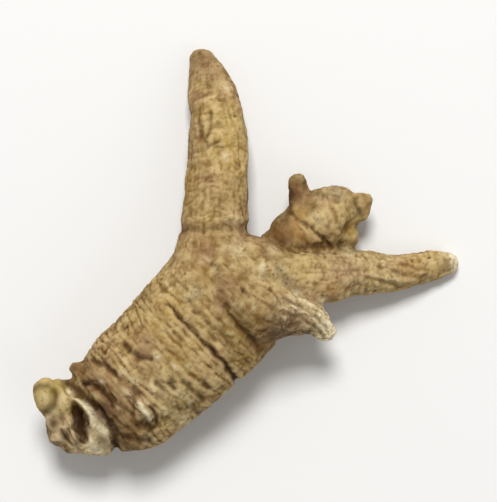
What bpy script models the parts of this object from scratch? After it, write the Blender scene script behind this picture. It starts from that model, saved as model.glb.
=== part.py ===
"""A dried ginseng root, lying on its side on a flat surface.

The root is one body of tissue: a thick trunk, the small rhizome head at its crown, and four limbs that
part at its lower end. Each stretch is modelled as a tapering tube along its own centreline, the tubes are
fused into one skin, and the skin is cut flat where the root touches the surface.

Frame: +Z is up, X and Y span the footprint, and the origin is the bottom centre of the bounding box.
Routes are written in millimetres, with X towards the side limb's tip and Y towards the long limb's tip.
"""

import bmesh
import bpy
from mathutils import Euler, Vector

MM = 0.001

# Driving dimensions, in millimetres.
TRUNK_RADIUS = 8.2
LONG_LIMB_RADIUS = 4.1
SIDE_LIMB_RADIUS = 3.2
STUB_RADIUS = 3.0
BACK_BRANCH_RADIUS = 3.9
HEAD_RADIUS = 5.0
NUB_RADIUS = 1.8
HOOK_RADIUS = 0.9
TRUNK_NUB_RADIUS = 1.1
BUD_RADIUS = 1.55
COLLAR_RADIUS = 2.4
RIM_RADIUS = 0.75

# The trunk and the head dried a little flatter than they are wide; the thin limbs stayed round.
TRUNK_FLATNESS = 0.88
ROUND = 1.0

# Each route runs from inside the root to a tip: x, y, z, and the thickness there as a share of the
# radius that the limb is named for.
TRUNK_ROUTE = (
    (-19.6, -20.8, 7.1, 0.54),
    (-18.4, -20.2, 7.1, 0.68),
    (-16.2, -18.7, 7.0, 0.88),
    (-12.75, -15.7, 7.2, 0.97),
    (-8.45, -11.6, 7.4, 1.02),
    (-4.9, -7.9, 7.7, 1.06),
    (-2.6, -5.3, 8.0, 1.06),
    (-0.8, -3.2, 8.1, 0.84),
    (0.2, -2.0, 8.1, 0.56),
)
LONG_LIMB_ROUTE = (
    (-5.0, -3.8, 8.8, 1.4),
    (-4.6, 0.4, 8.8, 1.14),
    (-4.2, 4.2, 7.9, 1.06),
    (-3.8, 10.4, 6.3, 0.97),
    (-3.9, 16.6, 4.7, 0.91),
    (-4.65, 20.9, 3.2, 0.79),
    (-5.3, 23.6, 2.2, 0.6),
    (-5.7, 25.1, 1.7, 0.4),
)
SIDE_LIMB_ROUTE = (
    (-1.8, -2.4, 8.8, 1.6),
    (2.2, -2.2, 8.8, 1.36),
    (6.1, -2.5, 7.8, 1.14),
    (10.1, -2.8, 6.4, 1.1),
    (14.1, -2.4, 5.0, 0.93),
    (17.6, -2.3, 3.9, 0.79),
    (20.9, -2.1, 2.8, 0.72),
    (23.9, -1.5, 1.9, 0.62),
    (26.0, -1.0, 1.5, 0.46),
)
STUB_ROUTE = (
    (-1.6, -4.7, 10.3, 1.3),
    (0.7, -5.6, 10.8, 1.32),
    (3.3, -7.1, 10.3, 1.42),
    (5.9, -7.5, 10.0, 1.0),
    (8.5, -8.3, 9.2, 0.8),
    (9.9, -9.7, 8.6, 0.54),
)
BACK_BRANCH_ROUTE = (
    (2.6, -1.6, 6.0, 0.86),
    (4.6, 0.4, 5.2, 0.9),
    (6.6, 2.2, 4.9, 0.98),
    (8.8, 3.7, 4.6, 1.06),
    (10.4, 4.3, 4.5, 1.08),
    (11.8, 4.5, 4.4, 1.02),
    (12.7, 4.4, 4.3, 0.82),
    (13.1, 4.3, 4.2, 0.4),
)
UPRIGHT_NUB_ROUTE = (
    (7.2, 5.2, 5.4, 1.2),
    (6.6, 7.4, 6.0, 0.9),
    (6.35, 9.0, 6.3, 0.72),
)
END_NUB_ROUTE = (
    (12.4, 5.4, 5.0, 1.2),
    (14.2, 6.4, 5.3, 0.92),
    (15.0, 6.8, 5.3, 0.68),
)
END_HOOK_ROUTE = (
    (15.0, 6.8, 5.2, 1.2),
    (14.9, 5.6, 5.2, 1.2),
    (14.8, 4.6, 5.1, 0.85),
)
BRANCH_HEEL_ROUTE = (
    (9.6, 2.8, 4.4, 1.5),
    (11.4, 2.8, 4.4, 1.4),
    (12.5, 2.5, 4.3, 1.1),
)
TRUNK_NUB_ROUTE = (
    (-20.0, -15.8, 7.8, 1.3),
    (-20.9, -15.0, 8.0, 1.1),
    (-21.6, -14.4, 8.1, 0.8),
)
HEAD_ROUTE = (
    (-18.6, -20.2, 7.1, 0.86),
    (-20.4, -21.2, 7.1, 0.94),
    (-22.2, -21.6, 7.0, 0.84),
    (-23.3, -21.9, 6.9, 0.5),
)
BUD_ROUTE = (
    (-24.5, -20.3, 8.0, 0.8),
    (-25.2, -18.8, 9.2, 1.06),
    (-25.6, -16.9, 9.8, 1.02),
)
COLLAR_ROUTE = (
    (-21.8, -18.9, 7.8, 1.1),
    (-23.1, -18.3, 8.3, 1.12),
    (-23.8, -18.1, 8.4, 1.0),
)
RIM_ROUTE = (
    (-22.6, -17.2, 9.4, 0.7),
    (-21.3, -18.3, 10.5, 0.75),
    (-20.3, -19.5, 11.0, 0.9),
    (-19.2, -21.4, 11.0, 1.0),
    (-18.6, -22.6, 10.2, 0.9),
)

# Rounded lumps of the head: centre and radius.
HEAD_LOBES = (
    (-19.0, -23.7, 7.4, 2.1),
    (-24.1, -21.2, 8.2, 1.7),
    (-24.0, -22.9, 8.0, 1.5),
    (-22.3, -23.8, 7.6, 1.6),
    (-20.1, -24.0, 8.4, 1.3),
)

# The thickness of what is worn flat where the root touches the surface.
REST_DEPTH = 0.3

# The stem scar is a long hollow in the head, where last year's stem broke off.
STEM_SCAR_CENTRE = (-21.2, -20.9, 11.2)
STEM_SCAR_RADII = (1.05, 2.6, 2.8)
STEM_SCAR_TURN = 0.22

# Fusing and thinning of the skin.
SKIN_CELL = 0.45
SMOOTHING_PASSES = 8
TRIANGLES_KEPT = 0.16
SWELL_SIZE = 6.0
SWELL_HEIGHT = 0.7

CURVE_STEPS = 6
SECTION_STEPS = 8
WELD = 0.00001
COLLECTION = "ginseng_root"
SKIN_COLOUR = (0.41, 0.28, 0.13, 1.0)
SKIN_ROUGHNESS = 0.8


def clear_scene():
    for obj in list(bpy.data.objects):
        bpy.data.objects.remove(obj)


def new_collection(name):
    collection = bpy.data.collections.new(name)
    bpy.context.scene.collection.children.link(collection)
    return collection


def skin_material():
    """Dry, matt, yellow-brown cork skin."""
    material = bpy.data.materials.new("root_skin")
    material.use_nodes = True
    shader = material.node_tree.nodes["Principled BSDF"]
    shader.inputs["Base Color"].default_value = SKIN_COLOUR
    shader.inputs["Roughness"].default_value = SKIN_ROUGHNESS
    shader.inputs["Metallic"].default_value = 0.0
    return material


def limb_curve(name, route, radius, flatness):
    """A smooth tube along the route, as thick at each point as the route says, with closed ends.

    The tube's height is its width times the flatness, and its centreline keeps the route's heights.
    """
    curve = bpy.data.curves.new(name, "CURVE")
    curve.dimensions = "3D"
    curve.resolution_u = CURVE_STEPS
    curve.bevel_depth = radius * MM
    curve.bevel_resolution = SECTION_STEPS
    curve.use_fill_caps = True
    spline = curve.splines.new("BEZIER")
    spline.bezier_points.add(len(route) - 1)
    for point, (x, y, z, share) in zip(spline.bezier_points, route):
        point.co = Vector((x, y, z / flatness)) * MM
        point.handle_left_type = "AUTO"
        point.handle_right_type = "AUTO"
        point.radius = share
    limb = bpy.data.objects.new(name, curve)
    limb.scale = (1.0, 1.0, flatness)
    return limb


def add_tip(mesh, route, radius, flatness):
    """A ball on the limb's last cap, so that the limb ends round."""
    x, y, z, share = route[-1]
    ball = bmesh.ops.create_icosphere(mesh, subdivisions=3, radius=share * radius * MM)
    bmesh.ops.scale(mesh, verts=ball["verts"], vec=(1.0, 1.0, flatness))
    bmesh.ops.translate(mesh, verts=ball["verts"], vec=Vector((x, y, z)) * MM)


def add_limb(mesh, name, route, radius, flatness=ROUND):
    """Adds a limb with a round tip to the bmesh."""
    limb = limb_curve(name, route, radius, flatness)
    bpy.context.scene.collection.objects.link(limb)
    graph = bpy.context.evaluated_depsgraph_get()
    tube = bpy.data.meshes.new_from_object(limb.evaluated_get(graph))
    tube.transform(limb.matrix_world)
    mesh.from_mesh(tube)
    add_tip(mesh, route, radius, flatness)
    curve = limb.data
    bpy.data.objects.remove(limb)
    bpy.data.curves.remove(curve)
    bpy.data.meshes.remove(tube)


def add_lobe(mesh, x, y, z, radius):
    """Adds a ball, a little wider than high, to the bmesh."""
    ball = bmesh.ops.create_icosphere(mesh, subdivisions=3, radius=radius * MM)
    bmesh.ops.scale(mesh, verts=ball["verts"], vec=(1.0, 1.0, TRUNK_FLATNESS))
    bmesh.ops.translate(mesh, verts=ball["verts"], vec=Vector((x, y, z)) * MM)


def fused_root(collection):
    """All the limbs in one object, which its first modifier fuses into one skin."""
    mesh = bmesh.new()
    add_limb(mesh, "trunk", TRUNK_ROUTE, TRUNK_RADIUS, TRUNK_FLATNESS)
    add_limb(mesh, "long_limb", LONG_LIMB_ROUTE, LONG_LIMB_RADIUS)
    add_limb(mesh, "side_limb", SIDE_LIMB_ROUTE, SIDE_LIMB_RADIUS)
    add_limb(mesh, "stub", STUB_ROUTE, STUB_RADIUS)
    add_limb(mesh, "back_branch", BACK_BRANCH_ROUTE, BACK_BRANCH_RADIUS)
    add_limb(mesh, "upright_nub", UPRIGHT_NUB_ROUTE, NUB_RADIUS)
    add_limb(mesh, "end_nub", END_NUB_ROUTE, NUB_RADIUS)
    add_limb(mesh, "end_hook", END_HOOK_ROUTE, HOOK_RADIUS)
    add_limb(mesh, "branch_heel", BRANCH_HEEL_ROUTE, NUB_RADIUS)
    add_limb(mesh, "trunk_nub", TRUNK_NUB_ROUTE, TRUNK_NUB_RADIUS)
    add_limb(mesh, "head", HEAD_ROUTE, HEAD_RADIUS, TRUNK_FLATNESS)
    add_limb(mesh, "bud", BUD_ROUTE, BUD_RADIUS)
    add_limb(mesh, "collar", COLLAR_ROUTE, COLLAR_RADIUS)
    add_limb(mesh, "rim", RIM_ROUTE, RIM_RADIUS)
    for lobe in HEAD_LOBES:
        add_lobe(mesh, *lobe)
    bmesh.ops.remove_doubles(mesh, verts=mesh.verts, dist=WELD)
    bmesh.ops.recalc_face_normals(mesh, faces=mesh.faces)
    data = bpy.data.meshes.new("ginseng_root")
    mesh.to_mesh(data)
    mesh.free()
    data.materials.append(skin_material())
    root = bpy.data.objects.new("ginseng_root", data)
    collection.objects.link(root)
    return root


def add_skin_modifiers(root):
    """Fuses the limbs, lets the surface swell and sink a little, rounds the joins and thins the mesh."""
    fuse = root.modifiers.new("fuse", "REMESH")
    fuse.mode = "VOXEL"
    fuse.voxel_size = SKIN_CELL * MM
    blend = root.modifiers.new("blend", "SMOOTH")
    blend.factor = 0.5
    blend.iterations = SMOOTHING_PASSES
    swelling = bpy.data.textures.new("swelling", "CLOUDS")
    swelling.noise_scale = SWELL_SIZE * MM
    swelling.noise_depth = 1
    swell = root.modifiers.new("swell", "DISPLACE")
    swell.texture = swelling
    swell.texture_coords = "LOCAL"
    swell.strength = SWELL_HEIGHT * MM
    swell.mid_level = 0.5
    thin = root.modifiers.new("thin", "DECIMATE")
    thin.ratio = TRIANGLES_KEPT
    thin.use_collapse_triangulate = True


def cut_away(root, cutter):
    """A cut that the root keeps as a modifier."""
    cut = root.modifiers.new(cutter.name, "BOOLEAN")
    cut.operation = "DIFFERENCE"
    cut.solver = "EXACT"
    cut.object = cutter


def new_cutter(name, mesh, collection):
    data = bpy.data.meshes.new(name)
    mesh.to_mesh(data)
    mesh.free()
    cutter = bpy.data.objects.new(name, data)
    cutter.hide_render = True
    cutter.display_type = "WIRE"
    collection.objects.link(cutter)
    return cutter


def stem_scar_cutter(collection):
    """A long rounded hollow, sunk from above into the head."""
    mesh = bmesh.new()
    bmesh.ops.create_icosphere(mesh, subdivisions=3, radius=1.0)
    bmesh.ops.scale(mesh, verts=mesh.verts, vec=Vector(STEM_SCAR_RADII) * MM)
    cutter = new_cutter("stem_scar", mesh, collection)
    cutter.location = Vector(STEM_SCAR_CENTRE) * MM
    cutter.rotation_euler = Euler((0.0, 0.0, STEM_SCAR_TURN))
    return cutter


def surface_cutter(collection):
    """A block whose top is the surface that the root lies on, a little above the root's lowest point."""
    side = 0.1
    mesh = bmesh.new()
    bmesh.ops.create_cube(mesh, size=side)
    cutter = new_cutter("surface", mesh, collection)
    cutter.location = (0.0, 0.0, REST_DEPTH * MM - side / 2)
    return cutter


def evaluated_box(obj):
    """The low and high corners of the finished shape."""
    graph = bpy.context.evaluated_depsgraph_get()
    mesh = obj.evaluated_get(graph).to_mesh()
    points = [vertex.co for vertex in mesh.vertices]
    low = Vector(min(point[axis] for point in points) for axis in range(3))
    high = Vector(max(point[axis] for point in points) for axis in range(3))
    return low, high


def centre_on_origin(root, cutters):
    """Moves the root and its cutters so that the origin is the bottom centre of the root."""
    low, high = evaluated_box(root)
    shift = Vector((-(low.x + high.x) / 2, -(low.y + high.y) / 2, -low.z))
    for obj in [root, *cutters]:
        obj.location = obj.location + shift


def main():
    clear_scene()
    parts = new_collection(COLLECTION)
    cutting = new_collection("cutters")
    cutting.hide_render = True
    root = fused_root(parts)
    add_skin_modifiers(root)
    cutters = [stem_scar_cutter(cutting), surface_cutter(cutting)]
    for cutter in cutters:
        cut_away(root, cutter)
    centre_on_origin(root, cutters)


main()
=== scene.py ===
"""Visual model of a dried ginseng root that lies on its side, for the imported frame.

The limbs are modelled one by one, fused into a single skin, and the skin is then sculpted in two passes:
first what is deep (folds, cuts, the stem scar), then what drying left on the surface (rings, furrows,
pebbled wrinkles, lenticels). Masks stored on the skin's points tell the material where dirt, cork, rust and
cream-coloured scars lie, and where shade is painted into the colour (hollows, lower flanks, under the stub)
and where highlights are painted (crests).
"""

import logging
import math
from dataclasses import dataclass, field
from enum import Enum
from itertools import product
from typing import Any

import bpy
import numpy as np
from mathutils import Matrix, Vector

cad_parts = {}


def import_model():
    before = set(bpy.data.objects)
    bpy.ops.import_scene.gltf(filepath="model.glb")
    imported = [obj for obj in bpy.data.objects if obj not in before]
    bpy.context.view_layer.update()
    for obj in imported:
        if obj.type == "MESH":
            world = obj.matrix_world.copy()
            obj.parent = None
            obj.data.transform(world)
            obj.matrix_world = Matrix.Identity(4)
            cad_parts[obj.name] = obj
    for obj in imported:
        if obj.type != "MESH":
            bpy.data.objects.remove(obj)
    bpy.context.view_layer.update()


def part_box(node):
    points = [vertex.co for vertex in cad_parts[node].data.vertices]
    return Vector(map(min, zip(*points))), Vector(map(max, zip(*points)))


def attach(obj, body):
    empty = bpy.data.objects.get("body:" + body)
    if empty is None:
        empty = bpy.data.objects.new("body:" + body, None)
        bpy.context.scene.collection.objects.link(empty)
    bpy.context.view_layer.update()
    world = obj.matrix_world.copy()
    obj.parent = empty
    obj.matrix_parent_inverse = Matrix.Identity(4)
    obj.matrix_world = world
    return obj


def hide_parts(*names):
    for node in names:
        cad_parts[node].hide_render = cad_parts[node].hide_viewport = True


LOG = logging.getLogger("ginseng_root")

MM = 0.001
NODE = "ginseng_root"
BODY = "root"

Array = np.ndarray
Route = tuple[tuple[float, float, float, float], ...]
Trace = tuple[tuple[float, float], ...]


# ---------------------------------------------------------------------------------------------------
# Numbers that vary smoothly over the skin
# ---------------------------------------------------------------------------------------------------


def smoothstep(low: float, high: float, value: Array) -> Array:
    """Rises smoothly from 0 at low to 1 at high.

    Args:
        low: The value at which the result leaves 0.
        high: The value at which the result reaches 1.
        value: The numbers to map.

    Returns:
        One number from 0 to 1 for each value.
    """
    share = np.clip((value - low) / (high - low), 0.0, 1.0)
    return share * share * (3.0 - 2.0 * share)


def bump(distance: Array, width: float) -> Array:
    """A rounded hill, 1 at distance 0 and almost 0 at twice the width."""
    return np.exp(-((distance / width) ** 2))


def lattice_noise(points: Array, seed: int) -> Array:
    """Smooth gradient noise, about -1 to 1, whose features are about one unit across.

    Args:
        points: Places, one row of three numbers each.
        seed: Picks one of many independent patterns.

    Returns:
        One number for each place.
    """
    cell = np.floor(points).astype(np.int64)
    part = points - cell
    ease = part**3 * (part * (part * 6.0 - 15.0) + 10.0)
    total = np.zeros(len(points))
    for corner in product((0, 1), repeat=3):
        offset = np.array(corner)
        key = (cell + offset) @ np.array([73856093, 19349663, 83492791]) + seed * 668265263
        key = (key ^ (key >> 13)) * 1274126177
        key = key ^ (key >> 16)
        slope = ((key[:, None] >> np.array([0, 8, 16])) & 255) / 127.5 - 1.0
        weight = np.where(offset, ease, 1.0 - ease).prod(axis=1)
        total += weight * ((part - offset) * slope).sum(axis=1)
    return total * 1.7


def layered_noise(points: Array, seed: int, layers: int = 3) -> Array:
    """Gradient noise with finer, weaker noise laid over it.

    Args:
        points: Places, one row of three numbers each.
        seed: Picks one of many independent patterns.
        layers: How many scales are added, each twice as fine as the one before.

    Returns:
        One number for each place.
    """
    total = np.zeros(len(points))
    for layer in range(layers):
        total += lattice_noise(points * 2.0**layer, seed + layer) / 2.0**layer
    return total


def crackle(points: Array, seed: int, sharpness: float) -> Array:
    """A net of thin lines, 1 on a line and 0 between lines.

    Args:
        points: Places, one row of three numbers each.
        seed: Picks one of many independent patterns.
        sharpness: How wide the lines are, as a share of the net's mesh.

    Returns:
        One number for each place.
    """
    return bump(lattice_noise(points, seed), sharpness)


def fold(phase: Array) -> Array:
    """The depth of a row of folds: 1 in the narrow valley at each whole number, 0 on the ridges between."""
    return (1.0 - 2.0 * np.abs(phase - np.round(phase))) ** 3


# ---------------------------------------------------------------------------------------------------
# Limbs
# ---------------------------------------------------------------------------------------------------


def smooth_route(knots: Array, per_span: int) -> Array:
    """Points on a Catmull-Rom curve through the knots.

    Args:
        knots: One row for each knot: x, y, z and radius.
        per_span: Points from one knot to the next.

    Returns:
        One row for each point, in the same four columns.
    """
    before = 2.0 * knots[0] - knots[1]
    beyond = 2.0 * knots[-1] - knots[-2]
    padded = np.vstack([before, knots, beyond])
    share = np.linspace(0.0, 1.0, per_span, endpoint=False)[:, None]
    spans = []
    for a, b, c, d in zip(padded, padded[1:], padded[2:], padded[3:]):
        curve = 2.0 * b + (c - a) * share + (2.0 * a - 5.0 * b + 4.0 * c - d) * share**2
        spans.append(0.5 * (curve + (3.0 * b - a - 3.0 * c + d) * share**3))
    return np.vstack([*spans, knots[-1:]])


@dataclass
class SkinPlace:
    """Where points of the skin are, as seen from one limb, in millimetres.

    Attributes:
        along: Distance from the limb's first knot, along its centreline.
        across: Distance from the centreline, sideways.
        up: Distance from the centreline, upwards.
        gap: Distance outside the limb's own smooth surface.
    """

    along: Array
    across: Array
    up: Array
    gap: Array

    def stretched(self, along: float, across: float) -> Array:
        """Noise coordinates for features that are so long along the limb and so wide across it."""
        return np.stack([self.along / along, self.across / across, self.up / across], axis=1)

    def ringed(self, ring: Array, across: float) -> Array:
        """Noise coordinates that change from ring to ring, for features so wide across the limb."""
        return np.stack([ring * 3.7, self.across / across, self.up / across], axis=1)

    def only(self, chosen: Array) -> "SkinPlace":
        """The places of the chosen points alone."""
        return SkinPlace(self.along[chosen], self.across[chosen], self.up[chosen], self.gap[chosen])


@dataclass(frozen=True)
class Drying:
    """What drying did to one kind of skin. Sizes and depths are in millimetres.

    Attributes:
        ring_spacing: Distance from one growth ring to the next.
        ring_depth: Depth of the ring folds near the head.
        ring_fade: Distance from the limb's start over which the rings weaken.
        furrow_width: Width of the ridges between lengthwise furrows.
        furrow_depth: Depth of the furrows.
        pebble_size: Size of the fine pebbled wrinkles.
        pebble_depth: Depth of the pebbled wrinkles.
        lump_size: Size of soft swellings.
        lump_height: Height of the swellings.
    """

    ring_spacing: float
    ring_depth: float
    ring_fade: float
    furrow_width: float
    furrow_depth: float
    pebble_size: float
    pebble_depth: float
    lump_size: float
    lump_height: float

    def _ring_set(self, place: SkinPlace, spacing: float, seed: int) -> Array:
        """Folds at this spacing that wander, swell into beads and break off, from 0 to about 1.5."""
        drift = 1.0 * lattice_noise(place.stretched(4.5, 6.0), seed)
        drift += 0.22 * spacing * lattice_noise(place.stretched(1.3, 2.0), seed + 1)
        phase = (place.along + drift) / spacing
        ring = np.round(phase)
        arcs = smoothstep(-0.5, 0.4, lattice_noise(place.ringed(ring, 3.6), seed + 2))
        beads = 1.0 + 0.7 * lattice_noise(place.ringed(ring, 0.9), seed + 3)
        return fold(phase) * (0.25 + 0.75 * arcs) * beads

    def rings(self, place: SkinPlace, seed: int) -> Array:
        """Ring folds, broad ones and finer ones between them, as heights in millimetres."""
        broad = self._ring_set(place, self.ring_spacing, seed)
        narrow = self._ring_set(place, self.ring_spacing * 0.68, seed + 4)
        weakened = 0.5 + 0.5 * np.exp(-np.maximum(place.along, 0.0) / self.ring_fade)
        return -self.ring_depth * weakened * (broad + 0.45 * narrow)

    def furrows(self, place: SkinPlace, seed: int) -> Array:
        """Lengthwise furrows that join and part, as heights in millimetres."""
        wide = crackle(place.stretched(8.0, self.furrow_width * 2.0), seed, 0.22)
        thin = crackle(place.stretched(4.0, self.furrow_width), seed + 1, 0.26)
        strength = smoothstep(-0.4, 0.4, lattice_noise(place.stretched(5.0, 3.0), seed + 2))
        return -self.furrow_depth * (wide * (0.4 + 0.6 * strength) + 0.5 * thin)

    def pebbles(self, place: SkinPlace, seed: int) -> Array:
        """A net of fine wrinkles with small cushions between them, as heights in millimetres."""
        net = crackle(place.stretched(self.pebble_size, self.pebble_size * 1.4), seed, 0.28)
        cushions = lattice_noise(place.stretched(self.pebble_size * 0.6, self.pebble_size * 0.8), seed + 1)
        return self.pebble_depth * (0.7 * cushions - net)

    def lumps(self, place: SkinPlace, seed: int) -> Array:
        """Soft swellings, as heights in millimetres."""
        return self.lump_height * layered_noise(place.stretched(self.lump_size, self.lump_size), seed, 2)

    def height(self, place: SkinPlace, seed: int) -> Array:
        """How far the dried skin stands above the limb's smooth surface.

        Args:
            place: Where the points are on the limb.
            seed: The limb's own pattern.

        Returns:
            One height in millimetres for each point.
        """
        relief = self.rings(place, seed) + self.furrows(place, seed + 10)
        return relief + self.pebbles(place, seed + 20) + self.lumps(place, seed + 30)


class Skin(Enum):
    """The kinds of skin on the root."""

    RINGED = Drying(1.05, 0.25, 14.0, 1.8, 0.05, 0.95, 0.07, 3.2, 0.17)
    FURROWED = Drying(1.9, 0.07, 20.0, 0.9, 0.12, 0.8, 0.06, 2.6, 0.13)
    PEBBLED = Drying(1.6, 0.06, 20.0, 1.2, 0.08, 0.8, 0.09, 2.2, 0.14)
    STREAKED = Drying(2.0, 0.03, 20.0, 1.1, 0.3, 0.7, 0.04, 2.0, 0.12)
    KNOBBLY = Drying(1.5, 0.06, 20.0, 1.4, 0.1, 1.1, 0.09, 2.1, 0.3)
    WORN = Drying(1.1, 0.03, 20.0, 1.2, 0.04, 1.5, 0.12, 1.6, 0.3)
    SMOOTH = Drying(0.9, 0.02, 20.0, 0.9, 0.02, 0.5, 0.015, 1.4, 0.06)


@dataclass
class Limb:
    """One tapering stretch of the root.

    Attributes:
        name: What a grower would call it.
        radius: Its thickness, in millimetres, which its route takes shares of.
        route: Its centreline, from inside the root to its tip: x, y, z and share of the radius.
        skin: The kind of skin on it.
        flatness: Its height as a share of its width.
        pale_tip: Length of the cream-coloured end, in millimetres.
        pallor: How bleached the rest of it is, from 0 to 1.
        mottling: How strong its light and dark spots are, 1 being usual.
    """

    name: str
    radius: float
    route: Route
    skin: Skin
    flatness: float = 1.0
    pale_tip: float = 0.0
    pallor: float = 0.0
    mottling: float = 1.0

    RING_SIDES = 28
    RINGS_PER_SPAN = 4
    TIP_RINGS = 5

    def knots(self) -> Array:
        """The route with its shares turned into radii."""
        return np.array(self.route) * np.array([1.0, 1.0, 1.0, self.radius])

    def build(self) -> bpy.types.Object:
        """Extrudes a filled circle along the route and closes it with a round tip.

        Returns:
            The limb as a closed mesh, in its place.
        """
        line = smooth_route(self.knots(), self.RINGS_PER_SPAN)
        steps = np.diff(line, axis=0)
        headings = np.unwrap(np.arctan2(steps[:, 1], steps[:, 0]))
        headings = np.append(headings, headings[-1])
        start = Vector(line[0, :3]) * MM
        bpy.ops.mesh.primitive_circle_add(
            vertices=self.RING_SIDES,
            radius=line[0, 3] * MM,
            fill_type="NGON",
            location=start,
            rotation=(math.pi / 2.0, 0.0, headings[0] + math.pi / 2.0),
        )
        limb = bpy.context.object
        limb.name = self.name
        bpy.ops.object.mode_set(mode="EDIT")
        bpy.ops.transform.resize(value=(1.0, 1.0, self.flatness), center_override=start)
        for index in range(1, len(line)):
            turn = headings[index] - headings[index - 1]
            self._next_ring(line[index - 1], line[index], turn)
        self._round_tip(line[-1], steps[-1])
        bpy.ops.object.mode_set(mode="OBJECT")
        bpy.ops.object.transform_apply(location=True, rotation=True, scale=True)
        return limb

    def _next_ring(self, before: Array, after: Array, turn: float) -> None:
        """Extrudes the selected end face to the next ring of the centreline.

        Args:
            before: The ring that the face is on: x, y, z and radius.
            after: The ring to make.
            turn: How far the centreline turns to the left between them, in radians.
        """
        centre = Vector(after[:3]) * MM
        move = Vector(after[:3] - before[:3]) * MM
        bpy.ops.mesh.extrude_region_move(TRANSFORM_OT_translate={"value": move})
        scale = after[3] / before[3]
        bpy.ops.transform.resize(value=(scale, scale, scale), center_override=centre)
        bpy.ops.transform.rotate(value=-turn, orient_axis="Z", center_override=centre)

    def _round_tip(self, last: Array, heading: Array) -> None:
        """Closes the limb with shrinking rings, as a half ball.

        Args:
            last: The last ring: x, y, z and radius.
            heading: The direction that the limb ends in.
        """
        forward = heading[:3] / np.linalg.norm(heading[:3])
        before = last
        for index in range(1, self.TIP_RINGS + 1):
            angle = index / (self.TIP_RINGS + 0.6) * math.pi / 2.0
            centre = last[:3] + forward * last[3] * math.sin(angle)
            ring = np.append(centre, last[3] * math.cos(angle))
            self._next_ring(before, ring, 0.0)
            before = ring

    def length(self) -> float:
        """The centreline's length, in millimetres."""
        line = smooth_route(self.knots(), self.RINGS_PER_SPAN)
        return float(np.linalg.norm(np.diff(line[:, :3], axis=0), axis=1).sum())

    def bleaching(self, place: SkinPlace) -> Array:
        """How bleached the limb is at these places, from 0 to 1."""
        if not self.pale_tip:
            return np.full(len(place.along), self.pallor)
        tip = smoothstep(self.length() - self.pale_tip, self.length() + 0.5, place.along)
        return np.maximum(tip, self.pallor * smoothstep(0.2, 0.5, place.along / self.length()))

    def surface_point(self, share: float, turn: float) -> tuple[Array, Array, Array]:
        """A place on the limb's surface.

        Args:
            share: How far along the limb it is, from 0 to 1.
            turn: How far round the limb it is, in half turns.

        Returns:
            The place, the direction along the limb and the direction outwards.
        """
        line = smooth_route(self.knots(), self.RINGS_PER_SPAN)
        index = int(share * (len(line) - 2))
        step = line[index + 1, :3] - line[index, :3]
        forward = step / np.linalg.norm(step)
        sideways = np.array([-forward[1], forward[0], 0.0])
        sideways /= np.linalg.norm(sideways)
        upright = np.cross(forward, sideways) * self.flatness
        outward = sideways * math.cos(turn * math.pi) + upright * math.sin(turn * math.pi)
        return line[index, :3] + outward * line[index, 3], forward, outward

    def locate(self, points: Array) -> SkinPlace:
        """Finds where points of the skin are along and around this limb.

        Args:
            points: Places in millimetres, one row each.

        Returns:
            The same points as seen from the limb.
        """
        line = smooth_route(self.knots(), self.RINGS_PER_SPAN)
        rounding = np.array([1.0, 1.0, 1.0 / self.flatness])
        found = SkinPlace(*(np.full(len(points), np.inf) for _ in range(4)))
        travelled = 0.0
        for start, end in zip(line, line[1:]):
            step = end[:3] - start[:3]
            length = float(np.linalg.norm(step))
            forward = step / length
            sideways = np.array([-forward[1], forward[0], 0.0])
            reach = (points - start[:3]) @ forward
            share = np.clip(reach / length, 0.0, 1.0)
            away = (points - start[:3] - share[:, None] * step) * rounding
            gap = np.linalg.norm(away, axis=1) - start[3] - share * (end[3] - start[3])
            near = gap < found.gap
            found.gap[near] = gap[near]
            found.along[near] = travelled + reach[near]
            found.across[near] = (away @ sideways)[near]
            found.up[near] = away[near, 2]
            travelled += length
        return found


# ---------------------------------------------------------------------------------------------------
# Marks on the skin
# ---------------------------------------------------------------------------------------------------


def trace_distance(points: Array, trace: Trace) -> tuple[Array, Array]:
    """How far points are from a line drawn on the root, seen from above, and where along it.

    Args:
        points: Places in millimetres, one row each.
        trace: The line's corners, x and y.

    Returns:
        For each point its distance in millimetres, below 0 on the line's right, and its share of the
        way along the line.
    """
    corners = np.array(trace)
    lengths = np.linalg.norm(np.diff(corners, axis=0), axis=1)
    travelled = np.concatenate([[0.0], np.cumsum(lengths)])
    nearest = np.full(len(points), np.inf)
    side = np.ones(len(points))
    along = np.zeros(len(points))
    for index, (start, end) in enumerate(zip(corners, corners[1:])):
        step = end - start
        away = points[:, :2] - start
        share = np.clip((away @ step) / (step @ step), 0.0, 1.0)
        distance = np.linalg.norm(away - share[:, None] * step, axis=1)
        closer = distance < nearest
        nearest[closer] = distance[closer]
        side[closer] = np.where((step[0] * away[:, 1] - step[1] * away[:, 0])[closer] < 0.0, -1.0, 1.0)
        along[closer] = (travelled[index] + share * lengths[index])[closer] / travelled[-1]
    return nearest * side, along


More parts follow.
